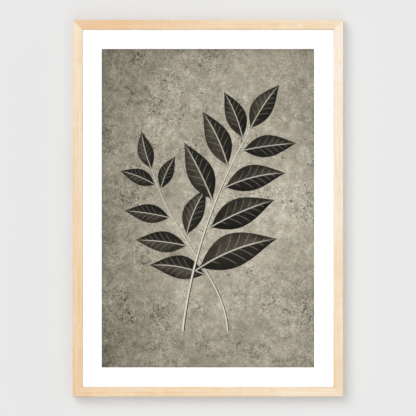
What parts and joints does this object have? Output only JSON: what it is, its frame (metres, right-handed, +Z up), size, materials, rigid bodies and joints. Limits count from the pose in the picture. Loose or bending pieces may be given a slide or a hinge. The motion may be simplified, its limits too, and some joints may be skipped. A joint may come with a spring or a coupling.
{
  "type": "framed print",
  "caption": "Upright rectangular framed print: a slim pale wood frame with mitred corners, clear glazing and a white window mat, which hangs on a wall by a sawtooth hanger.",
  "frame": {"origin": "the point that the frame hangs by: the middle valley of the sawtooth hanger's teeth, on the plane of the wall", "axes": "+Z up along the frame's long side, +Y from the front towards the wall, +X to the right as seen from the front"},
  "size_m": [0.5174, 0.031, 0.7206],
  "materials": {
    "wood": "satin",
    "glazing": "polished",
    "window_mat": "matte",
    "print": "matte",
    "mount_board": "matte",
    "backing_board": "matte",
    "framer_point": "satin",
    "v_nail": "satin",
    "hanger": "satin",
    "wall_bumper": "matte"
  },
  "bodies": {
    "root": {"rail_top": "wood", "rail_right": "wood", "rail_bottom": "wood", "rail_left": "wood", "glazing": "glazing", "window_mat": "window_mat", "print": "print", "mount_board": "mount_board", "backing_board": "backing_board", "framer_point_top_1": "framer_point", "framer_point_top_2": "framer_point", "framer_point_bottom_1": "framer_point", "framer_point_bottom_2": "framer_point", "framer_point_left_1": "framer_point", "framer_point_left_2": "framer_point", "framer_point_left_3": "framer_point", "framer_point_right_1": "framer_point", "framer_point_right_2": "framer_point", "framer_point_right_3": "framer_point", "v_nail_top_right_outer": "v_nail", "v_nail_top_right_inner": "v_nail", "v_nail_bottom_right_outer": "v_nail", "v_nail_bottom_right_inner": "v_nail", "v_nail_bottom_left_outer": "v_nail", "v_nail_bottom_left_inner": "v_nail", "v_nail_top_left_outer": "v_nail", "v_nail_top_left_inner": "v_nail", "sawtooth_hanger": "hanger", "hanger_screw_left": "hanger", "hanger_screw_right": "hanger", "wall_bumper_left": "wall_bumper", "wall_bumper_right": "wall_bumper"}
  },
  "joints": []
}
